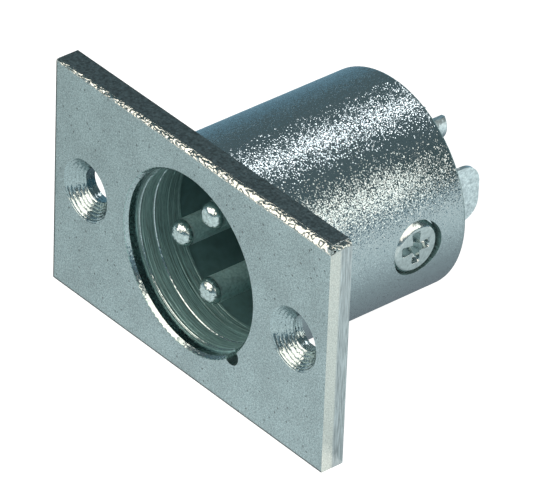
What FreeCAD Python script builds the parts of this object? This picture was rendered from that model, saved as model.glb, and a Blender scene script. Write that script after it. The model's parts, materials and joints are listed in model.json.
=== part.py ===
import FreeCAD, Part
import math
import os

import Sketcher
from FreeCAD import Rotation, Vector

# Panel-mount XLR receptacle with three male contacts.
# Frame: X along the plate, Z up, Y along the barrel. The origin is on the barrel's axis in the
# plate's rear face, which seats on the panel. The socket opens towards -Y.
# Lengths in mm, angles in degrees. A "depth" is measured from the plate's front face.

SIZES = {
    # plate
    "plate_thickness": 2.3,
    "side_margin": 1.2,
    "end_margin": 4.2,
    "break_left": 0.24,
    "break_right": 0.6,
    "end_break": 0.5,
    # fixing holes
    "fixing_spacing": 27.4,
    "fixing_hole_diameter": 3.2,
    "countersink_diameter": 5.9,
    "countersink_angle": 90,
    # socket, from the front face inwards
    "socket_diameter": 16.3,
    "lip_step": 0.15,
    "lip_depth": 1.15,
    "mouth_bevel_width": 0.25,
    "mouth_bevel_depth": 0.35,
    "socket_metal_depth": 5.85,
    "socket_end_bevel": 0.15,
    # barrel
    "barrel_length": 19.9,
    "barrel_end_round": 0.35,
    "seat_step": 0.75,
    "rear_wall": 1.0,
    # key notch in the rim
    "key_width": 1.9,
    "key_offset": 0.25,
    "key_angle": -45,
    # insulator
    "insulator_clearance": 0.05,
    "skirt_step": 0.1,
    "insulator_thickness": 7.1,
    "rear_recess": 1.6,
    # contacts
    "pin_diameter": 2.39,
    "pin_tip_flat": 0.5,
    "pin_tip_depth": 1.8,
    "pin_circle_radius": 3.81,
    "contact_clearance": 0.02,
    "stem_diameter": 2.8,
    "stem_length": 3.7,
    "cup_diameter": 3.5,
    "cup_wall": 0.45,
    "cup_bore_length": 5.5,
    "cup_overhang": 6.35,
    "cup_cut_height": 0.8,
    "cup_cut_length": 3.9,
    "cup_turn": 9,
    "cup_end_break": 0.15,
    # ground tag
    "tag_width": 5.5,
    "tag_thickness": 0.4,
    "tag_offset": 5.7,
    "tag_wall": 0.5,
    "tag_overhang": 6.3,
    "tag_corner_round": 1.9,
    "tag_clearance": 0.05,
    # screw in the side of the barrel
    "screw_behind_floor": 3.3,
    "screw_head_diameter": 4.6,
    "screw_head_sink": 0.2,
    "screw_head_round": 0.55,
    "screw_head_clearance": 0.3,
    "screw_diameter": 2.5,
    "screw_end_offset": 2.8,
    "screw_clearance": 0.02,
    "recess_rim": 1.0,
    "recess_width": 0.62,
    "recess_depth": 0.75,
    "recess_centre_diameter": 1.3,
}

# the contacts stand on a half circle, the first of them at the top
CONTACTS = ("contact_upper", "contact_left", "contact_lower")
CONTACT_SPREAD = 180

# expressions on the sheet: radii round the barrel's axis
SOCKET_RADIUS = "(Sizes.socket_diameter / 2)"
LIP_RADIUS = "(" + SOCKET_RADIUS + " + Sizes.lip_step)"
MOUTH_RADIUS = "(" + LIP_RADIUS + " + Sizes.mouth_bevel_width)"
BORE_RADIUS = "(" + SOCKET_RADIUS + " + Sizes.seat_step)"
BARREL_RADIUS = "(" + BORE_RADIUS + " + Sizes.rear_wall)"
PIN_RADIUS = "(Sizes.pin_diameter / 2)"
STEM_RADIUS = "(Sizes.stem_diameter / 2)"
CUP_RADIUS = "(Sizes.cup_diameter / 2)"
CUP_BORE_RADIUS = "(" + CUP_RADIUS + " - Sizes.cup_wall)"

# expressions on the sheet: half of the plate
PLATE_SIDE = "(Sizes.fixing_spacing / 2 + Sizes.end_margin)"
PLATE_TOP = "(" + BARREL_RADIUS + " + Sizes.side_margin)"

# expressions on the sheet: places along Y
METAL_END = "(Sizes.socket_metal_depth - Sizes.plate_thickness)"
PIN_TIP = "(Sizes.pin_tip_depth - Sizes.plate_thickness)"
INSULATOR_REAR = "(Sizes.barrel_length - Sizes.rear_recess)"
SOCKET_FLOOR = "(" + INSULATOR_REAR + " - Sizes.insulator_thickness)"
CUP_SHOULDER = "(" + SOCKET_FLOOR + " + Sizes.stem_length)"
CUP_END = "(" + INSULATOR_REAR + " + Sizes.cup_overhang)"
TAG_START = "(" + SOCKET_FLOOR + " + Sizes.tag_wall)"
TAG_END = "(" + INSULATOR_REAR + " + Sizes.tag_overhang)"
SCREW_PLACE = "(" + SOCKET_FLOOR + " + Sizes.screw_behind_floor)"

# expressions on the sheet: places along X of the screw, whose head clamps the tag
TAG_FACE = "(Sizes.tag_offset + Sizes.tag_thickness)"
HEAD_TOP = "(" + BARREL_RADIUS + " - Sizes.screw_head_sink)"
HEAD_RADIUS = "(Sizes.screw_head_diameter / 2)"
WINDOW_RADIUS = "(" + HEAD_RADIUS + " + Sizes.screw_head_clearance)"
SHANK_HOLE_RADIUS = "(Sizes.screw_diameter / 2 + Sizes.screw_clearance)"


def make_sheet(doc):
    sheet = doc.addObject("Spreadsheet::Sheet", "Sizes")
    for row, (alias, value) in enumerate(SIZES.items(), start=1):
        sheet.set("A%d" % row, alias)
        sheet.set("B%d" % row, str(value))
        sheet.setAlias("B%d" % row, alias)
    doc.recompute()
    return sheet


def worth(body, expression):
    """Value of an expression on the sheet, for finding edges."""
    return float(body.evalExpression(expression))


def new_body(doc, label):
    body = doc.addObject("PartDesign::Body", label)
    body.Label = label
    return body


def new_sketch(body, name, role, offset=None):
    """Sketch on one of the body's own origin planes, moved along its normal by an expression."""
    support = next(feature for feature in body.Origin.OriginFeatures if feature.Role == role)
    sketch = body.newObject("Sketcher::SketchObject", name)
    sketch.AttachmentSupport = [(support, "")]
    sketch.MapMode = "FlatFace"
    if offset:
        sketch.setExpression("AttachmentOffset.Base.z", offset)
    return sketch


def place_point(sketch, geometry, point, across, up):
    """Hold one point of a sketch at two expressions, measured from the sketch's origin."""
    for kind, expression in (("DistanceX", across), ("DistanceY", up)):
        index = sketch.addConstraint(Sketcher.Constraint(kind, -1, 1, geometry, point, 1.0))
        sketch.setExpression("Constraints[%d]" % index, expression)


def add_polygon(sketch, corners):
    """Closed outline whose corners are pairs of expressions."""
    first = sketch.GeometryCount
    count = len(corners)
    turns = [2 * math.pi * i / count for i in range(count + 1)]
    starts = [Vector(math.cos(turn), math.sin(turn), 0) for turn in turns]
    for i in range(count):
        sketch.addGeometry(Part.LineSegment(starts[i], starts[i + 1]), False)
    for i in range(count):
        follower = first + (i + 1) % count
        sketch.addConstraint(Sketcher.Constraint("Coincident", first + i, 2, follower, 1))
    for i, (across, up) in enumerate(corners):
        place_point(sketch, first + i, 1, across, up)


def add_rectangle(sketch, left, right, bottom, top):
    add_polygon(sketch, [(left, bottom), (right, bottom), (right, top), (left, top)])


def add_circle(sketch, across, up, circle_radius):
    """Circle with its centre and radius held by expressions."""
    index = sketch.addGeometry(Part.Circle(Vector(0, 0, 0), Vector(0, 0, 1), 1.0), False)
    place_point(sketch, index, 3, across, up)
    held = sketch.addConstraint(Sketcher.Constraint("Radius", index, 1.0))
    sketch.setExpression("Constraints[%d]" % held, circle_radius)


def turned(body, name, profile, kind="PartDesign::Revolution"):
    """Turn a profile of (place along Y, radius) pairs once round the Y axis."""
    sketch = new_sketch(body, name + "_profile", "YZ_Plane")
    add_polygon(sketch, profile)
    feature = body.newObject(kind, name)
    feature.Profile = sketch
    feature.ReferenceAxis = (sketch, ["H_Axis"])
    body.Document.recompute()
    return feature


def pad(body, name, sketch, length):
    feature = body.newObject("PartDesign::Pad", name)
    feature.Profile = sketch
    feature.setExpression("Length", length)
    body.Document.recompute()
    return feature


def pocket(body, name, sketch, length, backwards=False):
    """Cut a sketch into the body. Stops with a message when nothing is cut."""
    before = body.Shape.Volume
    feature = body.newObject("PartDesign::Pocket", name)
    feature.Profile = sketch
    feature.setExpression("Length", length)
    feature.Reversed = backwards
    body.Document.recompute()
    if not feature.Shape.Volume < before:
        raise RuntimeError(name + " cuts nothing")
    return feature


def dress(body, name, kind, wanted, size):
    """Chamfer or fillet on the edges of the body's tip that pass a test of their middle point."""
    base = body.Tip
    names = []
    for number, edge in enumerate(base.Shape.Edges, start=1):
        middle = edge.valueAt((edge.FirstParameter + edge.LastParameter) / 2)
        if wanted(edge, middle):
            names.append("Edge%d" % number)
    if not names:
        raise RuntimeError(name + " finds no edge")
    feature = body.newObject(kind, name)
    feature.Base = (base, names)
    feature.setExpression("Radius" if kind == "PartDesign::Fillet" else "Size", size)
    body.Document.recompute()
    return feature


def near(value, target, slack=0.02):
    return abs(value - target) < slack


def runs_along(edge, axis):
    """True for a straight edge along one axis."""
    if not isinstance(edge.Curve, Part.Line):
        return False
    return abs(edge.Curve.Direction.dot(axis)) > 0.99


def shell_plate(body):
    """Flat plate whose top edge is broken to the front, more to the right, and at the right end."""
    sketch = new_sketch(body, "plate_outline", "XZ_Plane")
    add_rectangle(sketch, "-" + PLATE_SIDE, PLATE_SIDE, "-" + PLATE_TOP, PLATE_TOP)
    pad(body, "plate", sketch, "Sizes.plate_thickness")

    # three-cornered cut along the front edge, from the left break to the right one
    corners = []
    for name, side in (("break_left", "-" + PLATE_SIDE), ("break_right", PLATE_SIDE)):
        corner = new_sketch(body, name + "_outline", "YZ_Plane", side)
        in_front = "-Sizes.plate_thickness - Sizes.%s" % name
        behind = "-Sizes.plate_thickness + 2 * Sizes.%s" % name
        below = PLATE_TOP + " - 2 * Sizes.%s" % name
        above = PLATE_TOP + " + Sizes.%s" % name
        add_polygon(corner, [(in_front, below), (behind, above), (in_front, above)])
        corners.append(corner)
    before = body.Shape.Volume
    cut = body.newObject("PartDesign::SubtractiveLoft", "plate_front_break")
    cut.Profile = corners[0]
    cut.Sections = corners[1:]
    cut.Ruled = True
    body.Document.recompute()
    if not cut.Shape.Volume < before:
        raise RuntimeError("plate_front_break cuts nothing")
    side = worth(body, PLATE_SIDE)
    top = worth(body, PLATE_TOP)

    def is_right_end(edge, middle):
        return near(middle.z, top) and near(middle.x, side)

    dress(body, "plate_end_break", "PartDesign::Chamfer", is_right_end, "Sizes.end_break")


def shell_barrel(body):
    """Solid barrel, then the stepped bore with its bevelled mouth."""
    turned(body, "barrel", [
        ("-Sizes.plate_thickness / 2", "0"),
        ("Sizes.barrel_length", "0"),
        ("Sizes.barrel_length", BARREL_RADIUS),
        ("-Sizes.plate_thickness / 2", BARREL_RADIUS),
    ])
    end = worth(body, "Sizes.barrel_length")

    def is_barrel_end(edge, middle):
        return near(middle.y, end)

    dress(body, "barrel_end", "PartDesign::Fillet", is_barrel_end, "Sizes.barrel_end_round")
    turned(body, "bore", [
        ("-Sizes.plate_thickness", "0"),
        ("-Sizes.plate_thickness", MOUTH_RADIUS),
        ("Sizes.mouth_bevel_depth - Sizes.plate_thickness", LIP_RADIUS),
        ("Sizes.lip_depth - Sizes.plate_thickness", LIP_RADIUS),
        ("Sizes.lip_depth - Sizes.plate_thickness", SOCKET_RADIUS),
        (METAL_END + " - Sizes.socket_end_bevel", SOCKET_RADIUS),
        (METAL_END, SOCKET_RADIUS + " + Sizes.socket_end_bevel"),
        (METAL_END, BORE_RADIUS),
        ("Sizes.barrel_length", BORE_RADIUS),
        ("Sizes.barrel_length", "0"),
    ], "PartDesign::Groove")


def shell_holes(body):
    """Key notch, the two countersunk fixing holes and the window for the side screw."""
    notch = new_sketch(body, "key_outline", "XZ_Plane", "Sizes.plate_thickness")
    reach = "(" + SOCKET_RADIUS + " + Sizes.key_offset)"
    add_circle(
        notch,
        reach + " * cos(Sizes.key_angle * 1 deg)",
        reach + " * sin(Sizes.key_angle * 1 deg)",
        "Sizes.key_width / 2",
    )
    pocket(body, "key_notch", notch, "Sizes.socket_metal_depth")

    fixing = new_sketch(body, "fixing_centres", "XZ_Plane", "Sizes.plate_thickness")
    for side in ("", "-"):
        add_circle(fixing, side + "Sizes.fixing_spacing / 2", "0", "Sizes.fixing_hole_diameter / 2")
    body.Document.recompute()
    before = body.Shape.Volume
    holes = body.newObject("PartDesign::Hole", "fixing_holes")
    holes.Profile = fixing
    holes.DepthType = "ThroughAll"
    holes.ThreadType = "None"
    holes.HoleCutType = "Countersink"
    holes.HoleCutCustomValues = True
    holes.setExpression("Diameter", "Sizes.fixing_hole_diameter")
    holes.setExpression("HoleCutDiameter", "Sizes.countersink_diameter")
    holes.setExpression("HoleCutCountersinkAngle", "Sizes.countersink_angle")
    body.Document.recompute()
    if not holes.Shape.Volume < before:
        raise RuntimeError("fixing_holes cut nothing")

    window = new_sketch(body, "window_outline", "YZ_Plane", BARREL_RADIUS)
    add_circle(window, SCREW_PLACE, "0", WINDOW_RADIUS)
    pocket(body, "screw_window", window, BARREL_RADIUS)


def make_shell(doc):
    body = new_body(doc, "shell")
    shell_plate(body)
    shell_barrel(body)
    shell_holes(body)
    return body


def insulator_contact_holes(body):
    """Stepped hole of the upper contact, then its copies round the axis."""
    rear = "-" + INSULATOR_REAR
    stem_hole = new_sketch(body, "stem_hole_outline", "XZ_Plane", rear)
    add_circle(stem_hole, "0", "Sizes.pin_circle_radius", STEM_RADIUS + " + Sizes.contact_clearance")
    stem_cut = pocket(body, "stem_hole", stem_hole, "Sizes.insulator_thickness", True)
    cup_hole = new_sketch(body, "cup_hole_outline", "XZ_Plane", rear)
    add_circle(cup_hole, "0", "Sizes.pin_circle_radius", CUP_RADIUS + " + Sizes.contact_clearance")
    cup_cut = pocket(body, "cup_hole", cup_hole, INSULATOR_REAR + " - " + CUP_SHOULDER, True)
    pattern = body.newObject("PartDesign::PolarPattern", "contact_holes")
    pattern.Originals = [stem_cut, cup_cut]
    turning_axis = next(f for f in body.Origin.OriginFeatures if f.Role == "Y_Axis")
    pattern.Axis = (turning_axis, [""])
    pattern.Angle = CONTACT_SPREAD
    pattern.Occurrences = len(CONTACTS)
    pattern.Reversed = True
    body.Tip = pattern
    body.Document.recompute()


def insulator_side(body):
    """Seat of the screw's head, channel for the tag, and the hole the screw cuts its thread in."""
    seat = new_sketch(body, "head_seat_outline", "YZ_Plane", BORE_RADIUS)
    add_circle(seat, SCREW_PLACE, "0", WINDOW_RADIUS)
    pocket(body, "head_seat", seat, BORE_RADIUS + " - " + TAG_FACE)

    channel = new_sketch(body, "channel_outline", "XZ_Plane", "-" + INSULATOR_REAR)
    half = "(Sizes.tag_width / 2 + Sizes.tag_clearance)"
    add_rectangle(channel, "Sizes.tag_offset", BORE_RADIUS, "-" + half, half)
    length = INSULATOR_REAR + " - " + TAG_START + " + Sizes.tag_clearance"
    pocket(body, "tag_channel", channel, length, True)

    thread = new_sketch(body, "screw_hole_outline", "YZ_Plane", "Sizes.tag_offset")
    add_circle(thread, SCREW_PLACE, "0", SHANK_HOLE_RADIUS)
    reach = "Sizes.tag_offset - Sizes.screw_end_offset + Sizes.screw_clearance"
    pocket(body, "screw_hole", thread, reach)


def make_insulator(doc):
    """Cup-shaped moulding: skirt round the socket, thick floor with the contact holes."""
    body = new_body(doc, "insulator")
    outer = BORE_RADIUS + " - Sizes.insulator_clearance"
    skirt = SOCKET_RADIUS + " + Sizes.skirt_step"
    turned(body, "cup", [
        (SOCKET_FLOOR, "0"),
        (SOCKET_FLOOR, skirt),
        (METAL_END, skirt),
        (METAL_END, outer),
        (INSULATOR_REAR, outer),
        (INSULATOR_REAR, "0"),
    ])
    insulator_contact_holes(body)
    insulator_side(body)
    return body


def make_contact(doc, label, angle):
    """Turned contact along Y: rounded pin, thicker stem, and a solder cup open on its outer side."""
    body = new_body(doc, label)
    bore_start = CUP_END + " - Sizes.cup_bore_length"
    turned(body, "turned_" + label, [
        (PIN_TIP, "0"),
        (PIN_TIP, PIN_RADIUS),
        (SOCKET_FLOOR, PIN_RADIUS),
        (SOCKET_FLOOR, STEM_RADIUS),
        (CUP_SHOULDER, STEM_RADIUS),
        (CUP_SHOULDER, CUP_RADIUS),
        (CUP_END, CUP_RADIUS),
        (CUP_END, CUP_BORE_RADIUS),
        (bore_start, CUP_BORE_RADIUS),
        (bore_start, "0"),
    ])
    tip = worth(body, PIN_TIP)
    end = worth(body, CUP_END)
    bore_radius = worth(body, CUP_BORE_RADIUS)

    def is_tip(edge, middle):
        return near(middle.y, tip) and not near(edge.Length, 0)

    def is_cup_rim(edge, middle):
        outside = not near(math.hypot(middle.x, middle.z), bore_radius)
        return near(middle.y, end) and outside

    tip_round = PIN_RADIUS + " - Sizes.pin_tip_flat / 2"
    dress(body, "tip_" + label, "PartDesign::Fillet", is_tip, tip_round)
    dress(body, "rim_" + label, "PartDesign::Fillet", is_cup_rim, "Sizes.cup_end_break")

    # the opening is turned a little from straight outwards, as the contacts were pressed in
    cut = new_sketch(body, "cut_" + label, "XZ_Plane", "-" + CUP_END)
    cut.setExpression("AttachmentOffset.Rotation.Angle", "Sizes.cup_turn * 1 deg")
    add_rectangle(cut, "-" + CUP_RADIUS, CUP_RADIUS, "Sizes.cup_cut_height", CUP_RADIUS)
    pocket(body, "opening_" + label, cut, "Sizes.cup_cut_length", True)

    turn = math.radians(angle)
    body.Placement.Rotation = Rotation(Vector(0, 1, 0), angle)
    body.setExpression("Placement.Base.x", "Sizes.pin_circle_radius * %g" % round(math.sin(turn), 9))
    body.setExpression("Placement.Base.z", "Sizes.pin_circle_radius * %g" % round(math.cos(turn), 9))
    doc.recompute()
    return body


def make_tag(doc):
    """Flat sheet tongue with a rounded end and a hole for the screw."""
    body = new_body(doc, "ground_tag")
    sketch = new_sketch(body, "tag_outline", "YZ_Plane", "Sizes.tag_offset")
    add_rectangle(sketch, TAG_START, TAG_END, "-Sizes.tag_width / 2", "Sizes.tag_width / 2")
    add_circle(sketch, SCREW_PLACE, "0", SHANK_HOLE_RADIUS)
    pad(body, "tongue", sketch, "Sizes.tag_thickness")
    end = worth(body, TAG_END)

    def is_end_corner(edge, middle):
        return near(middle.y, end) and runs_along(edge, Vector(1, 0, 0))

    dress(body, "tongue_end", "PartDesign::Fillet", is_end_corner, "Sizes.tag_corner_round")
    return body


def make_screw(doc):
    """Screw along X whose tall head passes through the barrel's window and clamps the tag."""
    body = new_body(doc, "insert_screw")
    head_sketch = new_sketch(body, "head_outline", "YZ_Plane", TAG_FACE)
    add_circle(head_sketch, SCREW_PLACE, "0", HEAD_RADIUS)
    pad(body, "head", head_sketch, HEAD_TOP + " - " + TAG_FACE)
    top = worth(body, HEAD_TOP)

    def is_head_edge(edge, middle):
        return near(middle.x, top)

    dress(body, "head_round", "PartDesign::Fillet", is_head_edge, "Sizes.screw_head_round")
    shank_sketch = new_sketch(body, "shank_outline", "YZ_Plane", "Sizes.screw_end_offset")
    add_circle(shank_sketch, SCREW_PLACE, "0", "Sizes.screw_diameter / 2")
    pad(body, "shank", shank_sketch, TAG_FACE + " - Sizes.screw_end_offset")

    reach = "(" + HEAD_RADIUS + " - Sizes.recess_rim)"
    half = "(Sizes.recess_width / 2)"
    for name, along, across in (("recess_along", reach, half), ("recess_across", half, reach)):
        slot = new_sketch(body, name + "_outline", "YZ_Plane", HEAD_TOP)
        start = SCREW_PLACE + " - " + along
        end = SCREW_PLACE + " + " + along
        add_rectangle(slot, start, end, "-" + across, across)
        pocket(body, name, slot, "Sizes.recess_depth")
    centre = new_sketch(body, "recess_centre_outline", "YZ_Plane", HEAD_TOP)
    add_circle(centre, SCREW_PLACE, "0", "Sizes.recess_centre_diameter / 2")
    pocket(body, "recess_centre", centre, "Sizes.recess_depth")
    return body


def check_document(doc):
    for item in doc.Objects:
        if "Invalid" in item.State or "Error" in item.State:
            raise RuntimeError(item.Name + " failed: " + str(item.State))


def write_parts(bodies):
    os.makedirs("parts", exist_ok=True)
    for body in bodies:
        shape = body.Shape
        if shape.isNull() or not shape.isValid() or len(shape.Solids) != 1:
            raise RuntimeError(body.Label + " is not one valid solid")
        shape.exportStep(os.path.join("parts", body.Label + ".step"))
        box = shape.BoundBox
        print(
            "%-14s volume %8.2f  x %6.2f %6.2f  y %6.2f %6.2f  z %6.2f %6.2f"
            % (body.Label, shape.Volume, box.XMin, box.XMax, box.YMin, box.YMax, box.ZMin, box.ZMax)
        )


def main():
    doc = FreeCAD.newDocument("xlr_receptacle")
    make_sheet(doc)
    bodies = [make_shell(doc), make_insulator(doc)]
    step = CONTACT_SPREAD / (len(CONTACTS) - 1)
    for number, label in enumerate(CONTACTS):
        bodies.append(make_contact(doc, label, -step * number))
    bodies.append(make_tag(doc))
    bodies.append(make_screw(doc))
    doc.recompute()
    check_document(doc)
    write_parts(bodies)


main()
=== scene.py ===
"""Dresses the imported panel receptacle: finishes for its CAD pieces, cut relief, side screw and stage."""

import json

import bpy
import numpy as np
from mathutils import Matrix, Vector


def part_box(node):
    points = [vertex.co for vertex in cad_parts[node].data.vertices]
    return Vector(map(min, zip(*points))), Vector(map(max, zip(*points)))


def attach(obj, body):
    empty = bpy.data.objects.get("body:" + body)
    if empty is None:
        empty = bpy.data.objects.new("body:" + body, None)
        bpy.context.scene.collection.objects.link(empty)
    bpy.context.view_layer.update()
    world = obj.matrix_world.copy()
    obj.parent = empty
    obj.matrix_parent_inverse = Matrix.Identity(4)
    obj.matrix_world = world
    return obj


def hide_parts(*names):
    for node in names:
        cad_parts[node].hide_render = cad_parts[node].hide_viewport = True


bl_info = {
    "name": "Panel Receptacle",
    "version": (1, 0, 0),
    "blender": (4, 5, 0),
    "location": "3D View > Sidebar > Receptacle",
    "description": "Finishes, turned relief, side screw and studio for a panel-mount receptacle",
    "category": "Object",
}

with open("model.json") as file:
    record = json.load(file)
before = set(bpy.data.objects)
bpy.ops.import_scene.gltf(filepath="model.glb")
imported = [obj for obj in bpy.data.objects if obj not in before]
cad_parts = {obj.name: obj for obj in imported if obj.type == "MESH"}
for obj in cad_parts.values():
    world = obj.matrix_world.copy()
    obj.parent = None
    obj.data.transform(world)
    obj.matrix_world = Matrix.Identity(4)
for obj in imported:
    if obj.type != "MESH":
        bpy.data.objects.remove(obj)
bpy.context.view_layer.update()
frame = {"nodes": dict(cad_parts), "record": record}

MM = 0.001
TURN = 2 * np.pi

# Places that the frame fixes, in metres
SHELL_LOW, SHELL_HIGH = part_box("shell")
SCREW_LOW, SCREW_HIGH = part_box("insert_screw")
PLATE_LEFT = SHELL_LOW[0]
PLATE_RIGHT = SHELL_HIGH[0]
PLATE_FRONT = SHELL_LOW[1]
PLATE_TOP = SHELL_HIGH[2]
MOUNTS = {mount["name"]: mount["dims"] for mount in frame["record"]["mounts"]}
BARREL_RADIUS = MOUNTS["barrel"]["r_mm"] * MM
HOLE_RADIUS = MOUNTS["fixing_holes"]["hole_r_mm"] * MM
HOLE_PLACE = MOUNTS["fixing_holes"]["spacing_x_mm"] * MM / 2

# How far the closed sections of the turned relief go back into the metal
BEHIND = 0.3 * MM

# Length of the slope between the socket's rim and its bore
STEP_SLOPE = 0.15 * MM

# Depth and height of each line that the tool left in the socket's bore, in millimetres
TOOL_LINES = ((1.42, 0.05), (1.7, 0.03), (2.1, 0.025), (2.5, 0.02), (3.0, 0.07), (3.25, 0.025),
              (3.9, 0.02), (4.5, 0.025), (5.1, 0.02), (5.6, 0.03))

# Photograph's camera, fitted to the plate's edges, the rim and the barrel: place, then its right, up and back
CAMERA_PLACE = (0.337788, -0.286064, 0.300863)
CAMERA_RIGHT = (0.63799298, 0.76940908, 0.03121909)
CAMERA_UP = (-0.44819911, 0.3380682, 0.82754302)
CAMERA_BACK = (0.62616493, -0.541959, 0.5605336)
CAMERA_LENS_MM = 433.56
CAMERA_SENSOR_MM = 36.0

# Numbers of the sockets of a mix of two colours, whose names are not unique
MIX_SHARE = 0
MIX_FIRST = 6
MIX_SECOND = 7
MIX_RESULT = 2


def hex_colour(code):
    """Linear colour of an sRGB hex code such as "8fa0a4"."""
    value = np.array([int(code[i:i + 2], 16) for i in (0, 2, 4)]) / 255
    linear = np.where(value <= 0.04045, value / 12.92, ((value + 0.055) / 1.055) ** 2.4)
    return (*linear.tolist(), 1.0)


def length(name, description, millimetres):
    """Property for a size, given in millimetres and kept in metres."""
    return bpy.props.FloatProperty(
        name=name, description=description, default=millimetres * MM, unit="LENGTH", precision=5)


def colour(name, description, code):
    """Property for a colour, given as an sRGB hex code and kept linear."""
    return bpy.props.FloatVectorProperty(
        name=name, description=description, default=hex_colour(code), size=4, subtype="COLOR", min=0, max=1)


class ReceptacleSizes(bpy.types.PropertyGroup):
    """Sizes of the relief and of the finishes' patterns."""

    barrel_grain: length("Barrel Grain", "Width of one facet of the blasted barrel", 0.07)
    face_grain: length("Face Grain", "Width of one facet of the plate's satin faces", 0.14)
    edge_grain: length("Edge Grain", "Width of one lump of the broken edges", 0.15)
    break_left: length("Break Left", "Width of the broken front edge at the plate's left end", 0.24)
    break_right: length("Break Right", "Width of the broken front edge at the plate's right end", 0.6)
    end_break: length("End Break", "Width of the broken edge along the right end", 0.5)
    countersink_radius: length("Countersink Radius", "Radius of a countersink at the plate's face", 2.95)
    ridge_pitch: length("Ridge Pitch", "Distance between the ridges that the countersink tool left", 0.34)
    ridge_height: length("Ridge Height", "Height of a countersink ridge", 0.035)
    mouth_radius: length("Mouth Radius", "Radius of the socket's bevel at the face", 8.55)
    mouth_depth: length("Mouth Depth", "Depth of the socket's bevel", 0.35)
    lip_radius: length("Lip Radius", "Radius of the socket's rim", 8.3)
    lip_depth: length("Lip Depth", "Depth of the socket's rim", 1.15)
    socket_radius: length("Socket Radius", "Radius of the socket behind its rim", 8.15)
    socket_depth: length("Socket Depth", "Depth of the socket's metal wall", 5.85)
    key_half_width: length("Key Half Width", "Half the width kept free for the key notch", 1.06)
    screw_shoulder: length("Screw Shoulder", "Height of the sloped shoulder of the screw's head", 0.5)
    screw_recess: length("Screw Recess", "Reach of the screw's cross recess from its middle", 1.55)
    screw_recess_depth: length("Screw Recess Depth", "Depth of the cross recess at its middle", 0.95)
    thread_pitch: length("Thread Pitch", "Pitch of the side screw's thread", 0.45)


class ReceptacleColours(bpy.types.PropertyGroup):
    """Colours of the finishes."""

    barrel_nickel: colour("Barrel Nickel", "Blasted nickel on the barrel", "a0b2b5")
    face_nickel: colour("Face Nickel", "Satin nickel on the plate's faces", "98adaf")
    side_nickel: colour("Side Nickel", "Smooth nickel on the plate's sides", "8c999a")
    trim_front: colour("Trim Front", "Front half of the trimmed right side", "c8d1cb")
    trim_rear: colour("Trim Rear", "Rear half of the trimmed right side", "b0bec0")
    bright_nickel: colour("Bright Nickel", "Nickel on freshly cut places", "a8b6b4")
    turned_zinc: colour("Turned Zinc", "Thin dull plating inside the turned socket", "7ea2a0")
    moulding: colour("Moulding", "Black insulator", "4a6b6b")
    silver: colour("Silver", "Plating of the contacts", "b0c5c4")
    tin: colour("Tin", "Plating of the ground tag and the solder cups", "d6e8ea")
    steel: colour("Steel", "Plating of the side screw", "b0c0c0")
    floor: colour("Floor", "Studio floor", "a0a0a0")


def add(tree, kind, inputs=None, **settings):
    """Add one node: settings are its attributes, inputs its values or the sockets that feed them."""
    made = tree.nodes.new(kind)
    for name, value in settings.items():
        setattr(made, name, value)
    for name, value in (inputs or {}).items():
        if isinstance(value, bpy.types.NodeSocket):
            tree.links.new(value, made.inputs[name])
        else:
            made.inputs[name].default_value = value
    return made


def new_material(name, sockets):
    """Material with one Principled shader: the material, its tree, the shader and the Object coordinates."""
    material = bpy.data.materials.new(name)
    material.use_nodes = True
    tree = material.node_tree
    tree.nodes.clear()
    shader = add(tree, "ShaderNodeBsdfPrincipled", sockets)
    add(tree, "ShaderNodeOutputMaterial", {"Surface": shader.outputs[0]})
    place = add(tree, "ShaderNodeTexCoord").outputs["Object"]
    return material, tree, shader, place


def facets(tree, place, size, lean):
    """Normal leaned at random in each cell of the given size, mostly a little and at most by lean.

    The cell's random colour less a half is multiplied by its own size. That gathers the leans near nothing
    and leaves a few steep cells, which flash one by one as on blasted or crystalline metal."""
    steepest = 0.25
    cells = add(tree, "ShaderNodeTexVoronoi", {"Vector": place, "Scale": 1 / size})
    around = add(tree, "ShaderNodeVectorMath", {
        0: cells.outputs["Color"], 1: (0.5, 0.5, 0.5)}, operation="SUBTRACT").outputs[0]
    amount = add(tree, "ShaderNodeVectorMath", {0: around}, operation="ABSOLUTE").outputs[0]
    steep = add(tree, "ShaderNodeVectorMath", {0: around, 1: amount}, operation="MULTIPLY").outputs[0]
    normal = add(tree, "ShaderNodeNewGeometry").outputs["Normal"]
    leaned = add(tree, "ShaderNodeVectorMath", {
        0: steep, 1: (lean / steepest,) * 3, 2: normal}, operation="MULTIPLY_ADD").outputs[0]
    return add(tree, "ShaderNodeVectorMath", {0: leaned}, operation="NORMALIZE").outputs[0]


def mottled(tree, place, scale, tint, low, high, stretch=(1, 1, 1)):
    """Colour that a noise of the given scale darkens from high to low times tint."""
    noise_reach = (0.32, 0.68)
    spread = add(tree, "ShaderNodeMapping", {"Vector": place, "Scale": stretch})
    noise = add(tree, "ShaderNodeTexNoise", {"Vector": spread.outputs[0], "Scale": 1 / scale, "Detail": 3.0})
    ramp = add(tree, "ShaderNodeValToRGB", {0: noise.outputs[0]})
    for stop, position, factor in zip(ramp.color_ramp.elements, noise_reach, (low, high)):
        stop.position = position
        stop.color = (*(factor * value for value in tint[:3]), 1)
    return ramp.outputs[0]


def specks(tree, place, spacing, radius, dark):
    """Grey factor that is one but falls to dark in small round specks strewn at the given spacing."""
    fade = 1.6
    edge = radius / spacing
    cells = add(tree, "ShaderNodeTexVoronoi", {"Vector": place, "Scale": 1 / spacing})
    return add(tree, "ShaderNodeMapRange", {
        0: cells.outputs["Distance"], "From Min": edge, "From Max": fade * edge, "To Min": dark}).outputs[0]


def layered(tree, tint, *factors):
    """Colour of several layers: tint times each of the factors in turn."""
    for factor in factors:
        tint = add(tree, "ShaderNodeMix", {MIX_SHARE: 1.0, MIX_FIRST: tint, MIX_SECOND: factor},
                   data_type="RGBA", blend_type="MULTIPLY").outputs[MIX_RESULT]
    return tint


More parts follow.
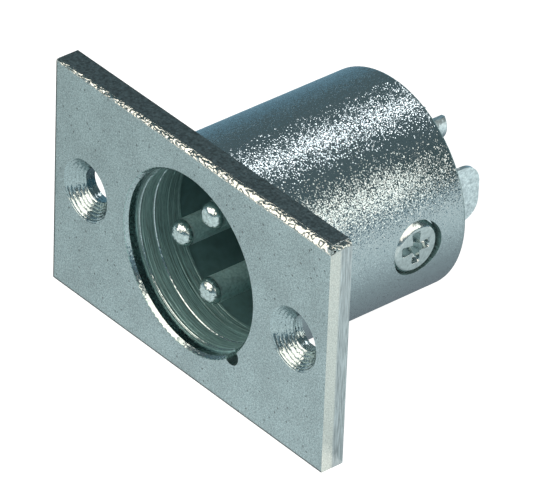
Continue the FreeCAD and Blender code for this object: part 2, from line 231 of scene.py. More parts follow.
def graded(tree, place, axis, reach, first, second):
    """Colour that runs from first to second over a reach of one axis, and the share that second has in it."""
    along = add(tree, "ShaderNodeSeparateXYZ", {0: place}).outputs[axis]
    share = add(tree, "ShaderNodeMapRange", {0: along, "From Min": reach[0], "From Max": reach[1]}).outputs[0]
    tint = add(tree, "ShaderNodeMix", {
        MIX_SHARE: share, MIX_FIRST: first, MIX_SECOND: second}, data_type="RGBA").outputs[MIX_RESULT]
    return tint, share


def plated_metal(name, roughness, facet, lean, patch, tint, low, high):
    """Plated metal whose facets lean by up to lean, tinted in patches from low to high times tint."""
    material, tree, shader, place = new_material(name, {"Metallic": 1.0, "Roughness": roughness})
    tree.links.new(facets(tree, place, facet, lean), shader.inputs["Normal"])
    tree.links.new(mottled(tree, place, patch, tint, low, high), shader.inputs["Base Color"])
    return material


def blasted_nickel(scene):
    """Blasted zinc casting under dull nickel: small flat facets that flash one by one in each highlight."""
    return plated_metal(
        "blasted_nickel", roughness=0.14, facet=scene.receptacle_sizes.barrel_grain, lean=0.25,
        patch=0.1 * MM, tint=scene.receptacle_colours.barrel_nickel, low=0.9, high=1.03)


def satin_nickel(scene):
    """Ground zinc face under satin nickel: grey-green, speckled and clouded, with painted shade along two
    edges.

    A dark rim of painted shade follows the left and the lower edge and fades with the distance from the
    nearer one."""
    painted_shade_full = 0.08 * MM
    painted_shade_end = 0.2 * MM
    painted_shade_factor = 0.2
    material, tree, shader, place = new_material("satin_nickel", {"Metallic": 1.0, "Roughness": 0.34})
    grain = facets(tree, place, scene.receptacle_sizes.face_grain, lean=0.14)
    tree.links.new(grain, shader.inputs["Normal"])
    nickel = scene.receptacle_colours.face_nickel
    speckle = mottled(tree, place, scale=0.12 * MM, tint=nickel, low=0.55, high=1.25)
    cloud = mottled(tree, place, scale=3 * MM, tint=(1, 1, 1), low=0.88, high=1.04)
    pits = specks(tree, place, spacing=0.9 * MM, radius=0.08 * MM, dark=0.45)
    axes = add(tree, "ShaderNodeSeparateXYZ", {0: place}).outputs
    # Painted shade: within 0.08 mm of the left or lower edge the colour falls to a fifth of itself, and it is
    # whole again at 0.2 mm
    from_left = add(tree, "ShaderNodeMath", {
        0: axes["X"], 1: float(PLATE_LEFT)}, operation="SUBTRACT").outputs[0]
    from_below = add(tree, "ShaderNodeMath", {
        0: axes["Z"], 1: float(PLATE_TOP)}, operation="ADD").outputs[0]
    nearer = add(tree, "ShaderNodeMath", {0: from_left, 1: from_below}, operation="MINIMUM").outputs[0]
    painted_shade = add(tree, "ShaderNodeMapRange", {
        0: nearer, "From Min": painted_shade_full, "From Max": painted_shade_end, "To Min": painted_shade_factor}).outputs[0]
    tree.links.new(layered(tree, speckle, cloud, pits, painted_shade), shader.inputs["Base Color"])
    return material


def smooth_nickel(scene):
    """Smooth as-cast side under nickel: a clear dark reflection with a few dull patches."""
    return plated_metal(
        "smooth_nickel", roughness=0.22, facet=scene.receptacle_sizes.face_grain, lean=0.16,
        patch=0.25 * MM, tint=scene.receptacle_colours.side_nickel, low=0.55, high=1.25)


def trimmed_nickel(scene):
    """Side where the casting was trimmed, under nickel: pale, drawn in fine streaks across the rear half."""
    streaks = (0.56 * PLATE_FRONT, 0.46 * PLATE_FRONT)
    material, tree, shader, place = new_material("trimmed_nickel", {"Metallic": 1.0, "Roughness": 0.32})
    grain = facets(tree, place, scene.receptacle_sizes.face_grain, lean=0.12)
    tree.links.new(grain, shader.inputs["Normal"])
    colours = scene.receptacle_colours
    front = mottled(tree, place, scale=0.12 * MM, tint=colours.trim_front, low=0.75, high=1.1)
    rear = mottled(
        tree, place, scale=0.09 * MM, tint=colours.trim_rear, low=0.5, high=1.15, stretch=(1, 1, 0.05))
    both, _ = graded(tree, place, "Y", streaks, front, rear)
    tree.links.new(both, shader.inputs["Base Color"])
    return material


def bright_cut(scene):
    """Broken edge under thin nickel: smooth lumps that each reflect a light or the dark between."""
    return plated_metal(
        "bright_cut_nickel", roughness=0.12, facet=0.2 * MM, lean=0.1,
        patch=0.15 * MM, tint=scene.receptacle_colours.bright_nickel, low=0.6, high=1.1)


def turned_zinc(scene):
    """Lathe-turned zinc under thin dull plating: dark green-grey with fine rings and short scratches."""
    material, tree, shader, place = new_material("turned_zinc", {"Metallic": 0.35, "Roughness": 0.4})
    zinc = scene.receptacle_colours.turned_zinc
    rings = mottled(
        tree, place, scale=0.08 * MM, tint=zinc, low=0.4, high=1.15, stretch=(0.02, 1, 0.02))
    scratches = mottled(
        tree, place, scale=0.07 * MM, tint=(1, 1, 1), low=0.75, high=1.2, stretch=(0.12, 1, 0.12))
    tree.links.new(layered(tree, rings, scratches), shader.inputs["Base Color"])
    return material


def turned_nickel(scene):
    """Tool-cut cone or bevel under bright nickel: shiny, with the tool's fine chatter."""
    return plated_metal(
        "turned_nickel", roughness=0.2, facet=0.15 * MM, lean=0.12,
        patch=0.12 * MM, tint=scene.receptacle_colours.face_nickel, low=0.7, high=1.15)


def black_moulding(scene):
    """Injection-moulded black nylon: dull, near black, with the mould's fine spark-eroded grain."""
    grain_width = 0.15 * MM
    grain_depth = 0.006 * MM
    material, tree, shader, place = new_material("moulded_nylon", {"Roughness": 0.5, "IOR": 1.53})
    grain = add(tree, "ShaderNodeTexNoise", {"Vector": place, "Scale": 1 / grain_width, "Detail": 2.0})
    bump = add(tree, "ShaderNodeBump", {"Height": grain.outputs[0], "Distance": grain_depth})
    tree.links.new(bump.outputs[0], shader.inputs["Normal"])
    nylon = mottled(tree, place, scale=0.8 * MM, tint=scene.receptacle_colours.moulding, low=0.8, high=1.1)
    tree.links.new(nylon, shader.inputs["Base Color"])
    return material


def turned_silver(scene):
    """Turned brass under silver plate: polished at the tip, with a dull grey-green tarnish behind it."""
    tarnish = (0.68, 0.86, 0.86, 1)
    tarnish_reach = (0.35 * MM, 0.75 * MM)
    material, tree, shader, place = new_material("silver_plated_brass", {})
    tree.links.new(facets(tree, place, size=0.2 * MM, lean=0.12), shader.inputs["Normal"])
    silver = scene.receptacle_colours.silver
    bright = mottled(tree, place, scale=0.25 * MM, tint=silver, low=0.72, high=1.1)
    both, share = graded(tree, place, "Y", tarnish_reach, bright, layered(tree, bright, tarnish))
    tree.links.new(both, shader.inputs["Base Color"])
    for name, polished, dull in (("Roughness", 0.2, 0.42), ("Metallic", 1.0, 0.6)):
        change = add(tree, "ShaderNodeMapRange", {0: share, "To Min": polished, "To Max": dull}).outputs[0]
        tree.links.new(change, shader.inputs[name])
    return material


def bright_tin(scene):
    """Stamped brass under tin: pale, with the tin's fine crystals."""
    return plated_metal(
        "tinned_brass", roughness=0.32, facet=0.18 * MM, lean=0.14,
        patch=0.25 * MM, tint=scene.receptacle_colours.tin, low=0.8, high=1.08)


def plated_steel(scene):
    """Cold-headed steel screw under nickel: smooth and grey, with faint broad patches."""
    return plated_metal(
        "nickel_plated_steel", roughness=0.18, facet=0.2 * MM, lean=0.03,
        patch=0.3 * MM, tint=scene.receptacle_colours.steel, low=0.8, high=1.05)


def grid_faces(rows, columns, rows_close, columns_close):
    """Quads between the points of a grid, counted row by row, wrapped round where it closes."""
    row, column = np.meshgrid(
        np.arange(rows if rows_close else rows - 1),
        np.arange(columns if columns_close else columns - 1), indexing="ij")
    below = (row + 1) % rows
    right = (column + 1) % columns
    quads = [row * columns + column, row * columns + right, below * columns + right, below * columns + column]
    return np.stack(quads, axis=-1).reshape(-1, 4).tolist()


def strip_faces(count, ring):
    """Quads round each closed section and one face at each end."""
    first = list(range(ring))
    last = list(range((count - 1) * ring, count * ring))
    return [*grid_faces(count, ring, False, True), first, last[::-1]]


def pole_faces(rings, around):
    """Quads between rings that run round an axis, and triangles from the first and last ring to the poles."""
    column = np.arange(around)
    follower = (column + 1) % around
    pole = np.full(around, rings * around)
    last = (rings - 1) * around
    first_fan = np.stack([pole, column, follower], axis=1).tolist()
    last_fan = np.stack([pole + 1, last + follower, last + column], axis=1).tolist()
    quads = np.array(grid_faces(rings, around, False, True))[:, ::-1].tolist()
    return [*quads, *first_fan, *last_fan]


def smooth_noise(shape, reach, seed):
    """White noise through a Gaussian filter of the given reach in grid steps, scaled to a spread of one."""
    white = np.random.default_rng(seed).standard_normal(shape)
    waves = np.meshgrid(np.fft.fftfreq(shape[0]), np.fft.fftfreq(shape[1]), indexing="ij")
    weight = np.exp(-2 * (np.pi * reach) ** 2 * (waves[0] ** 2 + waves[1] ** 2))
    smooth = np.fft.ifft2(np.fft.fft2(white) * weight).real
    return smooth / smooth.std()


def make_piece(name, points, faces, material, sharp_degrees=40):
    """Object at the origin from points and faces, smooth apart from edges sharper than the angle."""
    mesh = bpy.data.meshes.new(name)
    mesh.from_pydata(np.asarray(points).reshape(-1, 3).tolist(), [], faces)
    mesh.validate()
    mesh.shade_smooth()
    mesh.set_sharp_from_angle(angle=np.radians(sharp_degrees))
    mesh.materials.append(material)
    orient_outwards(mesh)
    piece = bpy.data.objects.new(name, mesh)
    bpy.context.collection.objects.link(piece)
    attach(piece, "root")
    return piece


def orient_outwards(mesh):
    """Turn the faces of a closed mesh outwards if its signed volume is negative."""
    mesh.calc_loop_triangles()
    corners = np.empty(len(mesh.loop_triangles) * 3, int)
    mesh.loop_triangles.foreach_get("vertices", corners)
    places = np.empty(len(mesh.vertices) * 3)
    mesh.vertices.foreach_get("co", places)
    a, b, c = places.reshape(-1, 3)[corners.reshape(-1, 3)].transpose(1, 0, 2)
    if np.einsum("ij,ij->", a, np.cross(b, c)) < 0:
        mesh.flip_normals()


def face_values(mesh, name):
    """The three parts of each face's centre or normal, as three arrays."""
    values = np.empty(len(mesh.polygons) * 3)
    mesh.polygons.foreach_get(name, values)
    return values.reshape(-1, 3).T


def finish_node(name, *materials):
    """Put the materials in the slots of a CAD node, and give its mesh."""
    mesh = frame["nodes"][name].data
    mesh.materials.clear()
    for material in materials:
        mesh.materials.append(material)
    return mesh


def ridged_ring(sizes, centre_x, seed):
    """Points of one countersink's tool marks: a closed section carried round the hole's axis.

    The section runs down the cone and the hole. It stands off the metal by the ridge height times the square
    root of a rectified sine of the distance run, which gives round lands between sharp valleys. The height
    is full on the hole's lower side, where the tool chattered, and fades to its least on the upper side. The
    section goes back inside the metal."""
    steps = 150
    around = 200
    stand_off = 0.008 * MM
    end_fade = 0.15 * MM
    rear_margin = 0.05 * MM
    wander_share = 0.1
    wander_reach = 9
    chatter_side = np.radians(240)
    chatter_swing = 1.2
    least_chatter = 0.1
    angle = np.linspace(0, TURN, around, endpoint=False)[:, None]
    drop = sizes.countersink_radius - HOLE_RADIUS
    cone = drop * np.sqrt(2)
    total = cone - PLATE_FRONT - drop
    run = np.linspace(0, total, steps)[None, :]
    on_cone = run < cone
    radius = np.where(on_cone, sizes.countersink_radius - run / np.sqrt(2), HOLE_RADIUS)
    depth = np.where(on_cone, run / np.sqrt(2), drop + run - cone)
    wander = wander_share * sizes.ridge_pitch * smooth_noise((around, steps), wander_reach, seed)
    lands = np.sqrt(np.abs(np.sin(np.pi * (run + wander) / sizes.ridge_pitch)))
    chatter = np.clip(0.5 + chatter_swing * np.cos(angle - chatter_side), 0, 1)
    strength = least_chatter + (1 - least_chatter) * chatter
    ends = np.clip(np.minimum(run, total - run) / end_fade, 0, 1)
    height = sizes.ridge_height * lands * strength * ends + stand_off * (2 * ends - 1)
    slope = np.where(on_cone, 1 / np.sqrt(2), 0.0)
    radius = radius - height * np.where(on_cone, slope, 1.0)
    depth = depth - height * slope
    radius = np.pad(radius, ((0, 0), (0, 2)))
    depth = np.pad(depth, ((0, 0), (0, 2)))
    radius[:, -2] = HOLE_RADIUS + BEHIND
    depth[:, -2] = -PLATE_FRONT - rear_margin
    radius[:, -1] = sizes.countersink_radius + BEHIND
    depth[:, -1] = BEHIND
    return np.stack(
        [centre_x + radius * np.cos(angle), PLATE_FRONT + depth, radius * np.sin(angle)], axis=-1)


def turned_socket(sizes):
    """Points of the socket's turned wall: a closed section carried round the barrel's axis, open at the key.

    The section follows the bevel, the rim, its sloped step and the bore. The bore's radius is its size less a
    stand-off, less a tent of equal height and half width at each tool line, less a fine random wave."""
    stand_off = 0.02 * MM
    wave_height = 0.004 * MM
    wave_reach = 1.6
    wave_seed = 5
    key = np.radians(-45)
    bevel_steps = 9
    rim_steps = 8
    bore_steps = 260
    around = 260
    along = np.linspace(sizes.lip_depth + STEP_SLOPE, sizes.socket_depth - stand_off, bore_steps)
    wave = smooth_noise((1, along.size), wave_reach, wave_seed)[0] * wave_height
    bore = sizes.socket_radius - stand_off - wave
    for place, height in TOOL_LINES:
        bore = bore - np.clip(height * MM - np.abs(along - place * MM), 0, None)
    bevel = np.linspace(0, 1, bevel_steps)
    bevel_radius = sizes.mouth_radius - (sizes.mouth_radius - sizes.lip_radius + stand_off) * bevel
    bevel_depth = sizes.mouth_depth * bevel
    rim_depth = np.linspace(sizes.mouth_depth, sizes.lip_depth, rim_steps)[1:]
    rim_radius = np.full(rim_depth.size, sizes.lip_radius - stand_off)
    back_radius = [sizes.socket_radius + BEHIND, sizes.mouth_radius + BEHIND]
    back_depth = [sizes.socket_depth - BEHIND, BEHIND]
    radius = np.concatenate([bevel_radius, rim_radius, bore, back_radius])
    depth = np.concatenate([bevel_depth, rim_depth, along, back_depth])
    gap = np.arcsin(sizes.key_half_width / sizes.lip_radius)
    angle = np.linspace(key + gap, key + TURN - gap, around)[:, None]
    return np.stack(
        [radius * np.cos(angle), PLATE_FRONT + depth + 0 * angle, radius * np.sin(angle)], axis=-1)


def broken_strip(sizes, start, end, face, top, widths, seed):
    """Points of a broken edge: a closed crowned section carried along the straight edge from start to end.

    The directions face and top lead from the edge into the two faces that meet there. At each place the
    section spans the chamfer between them, stands out by the root of a sine across it and closes at a point
    inside the metal. The size of a smooth noise roughens it, most at the start.
    Narrow valleys wind over it where that noise is near nothing, as a tent of the noise. All these heights
    are shares of the strip's width. What would stand out of the plate's box is clipped to it."""
    step = 0.035 * MM
    columns = 25
    crown_height = 0.14
    least_rough = 0.02
    added_rough = 0.16
    valley_reach = 0.35
    valley_depth = 0.11
    sunk = 0.005 * MM
    closing = 0.9
    count = int(np.linalg.norm(end - start) / step)
    across = np.linspace(0, 1, columns)[None, :, None]
    run = np.linspace(0, 1, count)[:, None, None]
    width = widths[0] + (widths[1] - widths[0]) * run
    edge = start + (end - start) * run
    outward = -(face + top) / np.sqrt(2)
    line = edge + face * width * (1 - across) + top * width * across
    noise = smooth_noise((count, columns), sizes.edge_grain / step, seed)[:, :, None]
    valley = np.clip(1 - np.abs(noise) / valley_reach, 0, 1)
    rough = least_rough + added_rough * (1 - run) ** 2
    crown = np.sqrt(np.sin(np.pi * across))
    lift = width * crown * (crown_height + rough * np.abs(noise) - valley_depth * valley) - sunk
    box_low = (PLATE_LEFT, PLATE_FRONT, -PLATE_TOP)
    box_high = (PLATE_RIGHT, 0, PLATE_TOP)
    skin = np.clip(line + outward * lift, box_low, box_high)
    inside = edge + (face + top) * width * closing
    return np.concatenate([skin, inside], axis=1)


def screw_points(sizes):
    """Points of the side screw: rings round its axis from the middle of the head to the tip, then both poles.

    The head is a shallow dome with a sloped shoulder, widest and deepest on its worn side, the upper left.
    The cross recess lowers it where the distance from the nearer arm's line is under a half width that grows
    outwards, as a rounded valley that is deepest in the middle.
    The shank's radius is a triangle wave of the distance less the angle's share of the pitch. It narrows
    towards the tip."""
    around = 240
    head_rings = 110
    side_rings = 8
    shank_rings = 120
    head_radius = (SCREW_HIGH[2] - SCREW_LOW[2]) / 2 + 0.1 * MM
    head_bottom = 6.1 * MM
    dome_height = 0.06 * MM
    worn_side = np.radians(117)
    shoulder_mm = 0.3
    worn_shoulder_mm = 0.4
    least_shoulder = 0.4
    shoulder_curve = 1.3
    arm_mm = 0.34
    arm_flare_mm = 0.18
    flare_curve = 1.5
    valley_curve = 1.8
    arm_end = 0.3 * MM
    recess_rise = 0.55
    recess_least = 0.2
    shank_radius = 1.25 * MM
    thread_depth = 0.22 * MM
    tip_length = 0.4 * MM
    tip_share = 0.6

    angle = np.linspace(0, TURN, around, endpoint=False)[None, :]
    worn = np.clip(np.cos(angle - worn_side), 0, 1)
    shoulder_width = (shoulder_mm + worn_shoulder_mm * worn) * MM
    shoulder_height = sizes.screw_shoulder * (least_shoulder + (1 - least_shoulder) * worn)
    reach = head_radius * np.sin(np.linspace(0, np.pi / 2, head_rings))[1:, None]
    bend = np.clip((reach - head_radius + shoulder_width) / shoulder_width, 0, 1)
    dome = dome_height * (reach / head_radius) ** 2
    top = SCREW_HIGH[0] - dome - shoulder_height * bend ** shoulder_curve

    first = np.abs(reach * np.cos(angle))
    second = np.abs(reach * np.sin(angle))
    along = np.maximum(first, second)
    off = np.minimum(first, second)
    half_width = (arm_mm + arm_flare_mm * (along / sizes.screw_recess) ** flare_curve) * MM
    valley = np.clip(1 - (off / half_width) ** valley_curve, 0, 1)
    end = np.clip((sizes.screw_recess - along) / arm_end, 0, 1)
    deep = sizes.screw_recess_depth * np.clip(1 - recess_rise * along / sizes.screw_recess, recess_least, 1)
    head_x = top - deep * valley * end
    side_x = head_x[-1] + (head_bottom - head_x[-1]) * np.linspace(0, 1, side_rings)[1:, None]

    shank_x = np.linspace(head_bottom, SCREW_LOW[0], shank_rings)[:, None] + 0 * angle
    turns = (shank_x / sizes.thread_pitch - angle / TURN) % 1.0
    taper = np.clip((shank_x - SCREW_LOW[0]) / tip_length, 0, 1)
    thread = thread_depth * (1 - np.abs(2 * turns - 1))
    shank_r = (shank_radius - thread) * (tip_share + (1 - tip_share) * taper)

    x = np.concatenate([head_x, side_x, shank_x])
    r = np.concatenate([reach + 0 * angle, np.full(side_x.shape, head_radius), shank_r])
    middle = (SCREW_LOW[1] + SCREW_HIGH[1]) / 2
    points = np.stack([x, middle + r * np.cos(angle), r * np.sin(angle)], axis=-1)
    poles = [[SCREW_HIGH[0] - sizes.screw_recess_depth, middle, 0], [SCREW_LOW[0], middle, 0]]
    return np.concatenate([points.reshape(-1, 3), poles]), points.shape[0], around


class RECEPTACLE_OT_shell(bpy.types.Operator):
    """Give each face of the plate and barrel the finish of the place it lies in."""

    bl_idname = "receptacle.shell"
    bl_label = "Finish Shell"

    def execute(self, context):
        sizes = context.scene.receptacle_sizes
        near = 0.02 * MM
        rear_edge = 0.4 * MM
        top_edge = 0.7 * MM
        facing = 0.9
        leaning = 0.3
        mesh = frame["nodes"]["shell"].data
        nx, _, nz = face_values(mesh, "normal")
        x, y, z = face_values(mesh, "center")
        radius = np.hypot(x, z)
        hole = np.hypot(np.abs(x) - HOLE_PLACE, z)
        skin = (radius > BARREL_RADIUS - 2 * near) | (y > SHELL_HIGH[1] - rear_edge)
        socket = (radius < sizes.mouth_radius + near) & (y > PLATE_FRONT + near)
        bore = (radius < BARREL_RADIUS - 2 * near) & (y > near) & (y < SHELL_HIGH[1] - near)
        cone = (hole < sizes.countersink_radius) & (y > PLATE_FRONT + near) & (y < -near)
        zones = (
            (blasted_nickel, skin & (y > near)),
            (smooth_nickel, (np.abs(nz) > facing) & (np.abs(z) > PLATE_TOP - near)),
            (smooth_nickel, (nx < -facing) & (x < PLATE_LEFT + near)),
            (trimmed_nickel, (nx > facing) & (x > PLATE_RIGHT - near)),
            (bright_cut, (nz > leaning) & (nz < facing) & (z > PLATE_TOP - top_edge)),
            (turned_zinc, socket | bore),
            (turned_nickel, cone),
        )
        finishes = list(dict.fromkeys([satin_nickel, *(finish for finish, _ in zones)]))
        index = np.zeros(len(mesh.polygons), np.int32)
        for finish, faces in zones:
            index[faces] = finishes.index(finish)
        finish_node("shell", *(finish(context.scene) for finish in finishes))
        mesh.polygons.foreach_set("material_index", index)
        return {"FINISHED"}


class RECEPTACLE_OT_broken_edges(bpy.types.Operator):
    """Lay the rough broken edge along the plate's top front edge and over its right end."""

    bl_idname = "receptacle.broken_edges"
    bl_label = "Break Edges"

    def execute(self, context):
        sizes = context.scene.receptacle_sizes
        material = bright_cut(context.scene)
        x, y, z = np.eye(3)
        left = np.array([PLATE_LEFT, PLATE_FRONT, PLATE_TOP])
        right = np.array([PLATE_RIGHT, PLATE_FRONT, PLATE_TOP])
        rear = np.array([PLATE_RIGHT, 0, PLATE_TOP])
        front = broken_strip(sizes, left, right, -z, y, (sizes.break_left, sizes.break_right), seed=11)
        side = broken_strip(sizes, right, rear, -z, -x, (sizes.end_break, sizes.end_break), seed=12)
        for name, points in (("broken_front_edge", front), ("broken_end_edge", side)):
            make_piece(name, points, strip_faces(*points.shape[:2]), material)
        return {"FINISHED"}


class RECEPTACLE_OT_countersinks(bpy.types.Operator):
    """Lay the tool's ridges in both countersunk fixing holes."""

    bl_idname = "receptacle.countersinks"
    bl_label = "Turn Countersinks"

    def execute(self, context):
        material = turned_nickel(context.scene)
        for name, centre_x, seed in (
                ("countersink_left", -HOLE_PLACE, 21),
                ("countersink_right", HOLE_PLACE, 22)):
            points = ridged_ring(context.scene.receptacle_sizes, centre_x, seed)
            faces = grid_faces(*points.shape[:2], True, True)
            make_piece(name, points, faces, material, sharp_degrees=60)
        return {"FINISHED"}


class RECEPTACLE_OT_socket(bpy.types.Operator):
    """Line the socket's metal wall with its turned bevel, rim and tool lines."""

    bl_idname = "receptacle.socket"
    bl_label = "Turn Socket"

    def execute(self, context):
        sizes = context.scene.receptacle_sizes
        bright_line_mm = 0.03
        points = turned_socket(sizes)
        faces = strip_faces(*points.shape[:2])
        zinc = turned_zinc(context.scene)
        mesh = make_piece("turned_socket", points, faces, zinc, sharp_degrees=30).data
        mesh.materials.append(turned_nickel(context.scene))
        depth = face_values(mesh, "center")[1] - PLATE_FRONT
        bright = depth < sizes.lip_depth + STEP_SLOPE
        for place, height in TOOL_LINES:
            bright |= (height > bright_line_mm) & (np.abs(depth - place * MM) < height * MM)
        mesh.polygons.foreach_set("material_index", bright.astype(np.int32))
        return {"FINISHED"}


class RECEPTACLE_OT_insulator(bpy.types.Operator):
    """Give the insulator its moulded finish."""

    bl_idname = "receptacle.insulator"
    bl_label = "Finish Insulator"

    def execute(self, context):
        finish_node("insulator", black_moulding(context.scene))
        return {"FINISHED"}


class RECEPTACLE_OT_contacts(bpy.types.Operator):
    """Give the three contacts their silver plate, and tin to the solder cups behind the insulator."""

    bl_idname = "receptacle.contacts"
    bl_label = "Finish Contacts"

    def execute(self, context):
        silver = turned_silver(context.scene)
        tin = bright_tin(context.scene)
        cups_start = SHELL_HIGH[1] - 2 * MM
        for name in ("contact_upper", "contact_left", "contact_lower"):
            mesh = finish_node(name, silver, tin)
            in_cup = face_values(mesh, "center")[1] > cups_start
            mesh.polygons.foreach_set("material_index", in_cup.astype(np.int32))
        return {"FINISHED"}


class RECEPTACLE_OT_ground_tag(bpy.types.Operator):
    """Give the ground tag its tin plate."""

    bl_idname = "receptacle.ground_tag"
    bl_label = "Finish Ground Tag"

    def execute(self, context):
        finish_node("ground_tag", bright_tin(context.scene))
        return {"FINISHED"}


class RECEPTACLE_OT_screw(bpy.types.Operator):
    """Make the side screw with its domed head, flared cross recess and thread."""

    bl_idname = "receptacle.screw"
    bl_label = "Make Side Screw"

    def execute(self, context):
        points, rings, around = screw_points(context.scene.receptacle_sizes)
        faces = pole_faces(rings, around)
        steel = plated_steel(context.scene)
        piece = make_piece("side_screw", points, faces, steel, sharp_degrees=50)
        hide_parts("insert_screw")
        return {"FINISHED"}


def placed(right, up, back, place):
    """Matrix of an object whose own axes point right, up and back."""
    columns = np.column_stack([right, up, back, place])
    return Matrix([*columns.tolist(), (0, 0, 0, 1)])


def sheet(name, low, high):
    """Object with one rectangle between two opposite corners that lie in a plane across one axis."""
    first = next(axis for axis in range(3) if low[axis] != high[axis])
    corners = np.array([low, low, high, high], float)
    corners[1, first] = high[first]
    corners[3, first] = low[first]
    mesh = bpy.data.meshes.new(name)
    mesh.from_pydata(corners.tolist(), [], [(0, 1, 2, 3)])
    made = bpy.data.objects.new(name, mesh)
    bpy.context.collection.objects.link(made)
    return made


def softbox(name, place, size, power, tint, towards=(0, 0, 0), matte=True, gloss=True):
    """Rectangular light at place that faces towards, unseen by the camera.

    It may spare matte or glossy surfaces."""
    data = bpy.data.lights.new(name, "AREA")
    data.shape = "RECTANGLE"
    data.size, data.size_y = size
    data.energy = power
    data.color = tint
    lamp = bpy.data.objects.new(name, data)
    bpy.context.collection.objects.link(lamp)
    back = np.array(place, float) - towards
    back /= np.linalg.norm(back)
    side = np.cross((0.0, 1.0, 0.0), back)
    side /= np.linalg.norm(side)
    lamp.matrix_world = placed(side, np.cross(back, side), back, place)
    lamp.visible_camera = False
    lamp.visible_diffuse = matte
    lamp.visible_glossy = gloss


def reflector(name, low, high, axis, reach, first, second):
    """Card that only reflections see. Its glow runs from first to second over a reach of one axis."""
    card = sheet(name, low, high)
    material, tree, shader, place = new_material(name + "_card", {
        "Base Color": (0, 0, 0, 1), "Roughness": 1.0, "Emission Strength": 1.0})
    glow, _ = graded(tree, place, axis, reach, (*first, 1), (*second, 1))
    tree.links.new(glow, shader.inputs["Emission Color"])
    card.data.materials.append(material)
    card.visible_camera = False
    card.visible_diffuse = False
    card.visible_shadow = False


def studio_world():
    """World whose glow falls from a blue horizon to a dim grey overhead."""
    world = bpy.data.worlds.new("studio")
    world.use_nodes = True
    tree = world.node_tree
    tree.nodes.clear()
    direction = add(tree, "ShaderNodeTexCoord").outputs["Generated"]
    height = add(tree, "ShaderNodeSeparateXYZ", {0: direction}).outputs["Z"]
    sky = add(tree, "ShaderNodeValToRGB", {0: height})
    horizon, overhead = sky.color_ramp.elements
    horizon.color = (0.19, 0.33, 0.42, 1)
    overhead.position = 0.3
    overhead.color = (0.165, 0.21, 0.225, 1)
    back = add(tree, "ShaderNodeBackground", {"Color": sky.outputs[0]})
    add(tree, "ShaderNodeOutputWorld", {"Surface": back.outputs[0]})
    return world


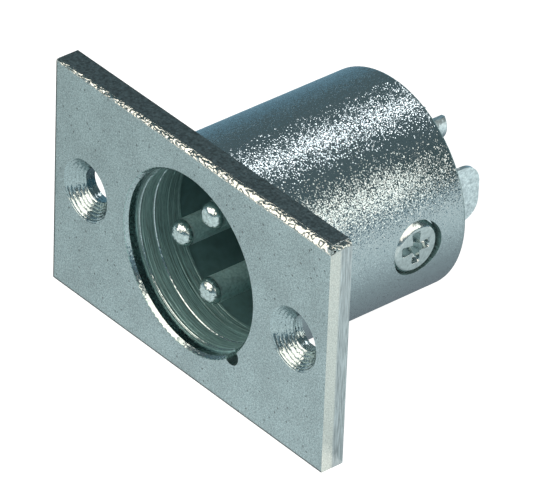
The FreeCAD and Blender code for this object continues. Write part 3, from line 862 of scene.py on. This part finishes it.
class RECEPTACLE_OT_stage(bpy.types.Operator):
    """Set the white floor, the soft lights, the reflected cards and the photograph's camera."""

    bl_idname = "receptacle.stage"
    bl_label = "Set Stage"

    def execute(self, context):
        scene = context.scene
        scene.view_settings.view_transform = "Standard"
        scene.world = studio_world()
        data = bpy.data.cameras.new("photo_camera")
        data.sensor_width = CAMERA_SENSOR_MM
        data.lens = CAMERA_LENS_MM
        data.clip_start = 0.01
        data.clip_end = 50.0
        camera = bpy.data.objects.new("photo_camera", data)
        context.collection.objects.link(camera)
        camera.matrix_world = placed(CAMERA_RIGHT, CAMERA_UP, CAMERA_BACK, CAMERA_PLACE)
        scene.camera = camera

        reach = 20.0
        bottom = SHELL_LOW[2]
        floor = sheet("floor", (-reach, -reach, bottom), (reach, reach, bottom))
        paper = new_material("lit_paper", {
            "Base Color": scene.receptacle_colours.floor, "Roughness": 0.9,
            "Emission Color": (1, 1, 1, 1), "Emission Strength": 0.92})
        floor.data.materials.append(paper[0])

        # Cards that only reflections see, as painted reflections: one on the floor in front, painted darker
        # towards the left; one under the barrel, a painted shadow of the barrel that is darkest from its
        # middle leftwards and lightens to the right; upright ones beside the barrel and behind its end,
        # painted dark blue-grey reflections
        low = bottom + 0.1 * MM
        left_top = 0.0095
        end_top = 0.025
        reflector("front", (-0.06, -0.06, low), (0.03, PLATE_FRONT, low), "X", (-0.04, 0.016),
                  first=(0.79, 0.83, 0.83), second=(1.12, 1.13, 1.14))
        # Painted shadow of the barrel on the floor, seen only in reflections: dark up to 3 mm right of the
        # middle, full by 26 mm
        reflector("painted_barrel_shadow", (-0.02, 0.0, low), (0.045, 0.06, low), "X", (0.003, 0.026),
                  first=(0.16, 0.2, 0.23), second=(0.97, 1.02, 1.03))
        # Painted dark blue-grey reflection beside the barrel, where the floor would be white
        reflector("rear_left", (-0.02, 0.0, bottom), (-0.02, 0.08, left_top), "Z", (bottom, left_top),
                  first=(0.24, 0.42, 0.53), second=(0.19, 0.33, 0.42))
        reflector("rear_end", (0.02, 0.025, 0.0045), (0.02, 0.06, end_top), "Z", (0.0, end_top),
                  first=(0.07, 0.12, 0.13), second=(0.1, 0.14, 0.15))

        # The fill stands a little farther out than the shine, because lights at one place hide each other
        softbox("overhead", (-0.094, 0.334, 0.5), size=(0.11, 0.2), power=0.43, tint=(1, 0.88, 0.88),
                towards=(0.003, 0.012, 0.009))
        softbox("right_rear", (0.46, 0.33, 0.235), size=(0.16, 0.22), power=0.36, tint=(1, 0.87, 0.78),
                towards=(0.008, 0.012, 0.005))
        softbox("front_fill", (-0.0123, -0.0636, 0.0574), size=(0.104, 0.067), power=0.075,
                tint=(1, 0.98, 0.91), gloss=False)
        softbox("front_shine", (-0.012, -0.062, 0.056), size=(0.104, 0.067), power=0.09,
                tint=(1, 0.78, 0.66), matte=False)
        softbox("over_screw", (0.47, 0.011, 0.284), size=(0.3, 0.42), power=1.15, tint=(1, 0.8, 0.7),
                towards=(0.01, 0.0145, 0))
        return {"FINISHED"}


class RECEPTACLE_PT_pieces(bpy.types.Panel):
    """Lists the receptacle's pieces and its stage."""

    bl_idname = "RECEPTACLE_PT_pieces"
    bl_label = "Receptacle"
    bl_space_type = "VIEW_3D"
    bl_region_type = "UI"
    bl_category = "Receptacle"

    def draw(self, context):
        for operator in OPERATORS:
            self.layout.operator(operator.bl_idname)
        for group in (context.scene.receptacle_sizes, context.scene.receptacle_colours):
            for name in group.__annotations__:
                self.layout.prop(group, name)


OPERATORS = (
    RECEPTACLE_OT_stage,
    RECEPTACLE_OT_shell,
    RECEPTACLE_OT_broken_edges,
    RECEPTACLE_OT_countersinks,
    RECEPTACLE_OT_socket,
    RECEPTACLE_OT_insulator,
    RECEPTACLE_OT_contacts,
    RECEPTACLE_OT_ground_tag,
    RECEPTACLE_OT_screw,
)
CLASSES = (ReceptacleSizes, ReceptacleColours, *OPERATORS, RECEPTACLE_PT_pieces)


def register():
    for cls in CLASSES:
        bpy.utils.register_class(cls)
    bpy.types.Scene.receptacle_sizes = bpy.props.PointerProperty(type=ReceptacleSizes)
    bpy.types.Scene.receptacle_colours = bpy.props.PointerProperty(type=ReceptacleColours)


def unregister():
    del bpy.types.Scene.receptacle_colours
    del bpy.types.Scene.receptacle_sizes
    for cls in reversed(CLASSES):
        bpy.utils.unregister_class(cls)


def main():
    register()
    bpy.ops.receptacle.stage()
    bpy.ops.receptacle.shell()
    bpy.ops.receptacle.broken_edges()
    bpy.ops.receptacle.countersinks()
    bpy.ops.receptacle.socket()
    bpy.ops.receptacle.insulator()
    bpy.ops.receptacle.contacts()
    bpy.ops.receptacle.ground_tag()
    bpy.ops.receptacle.screw()


if __name__ == "__main__":
    main()
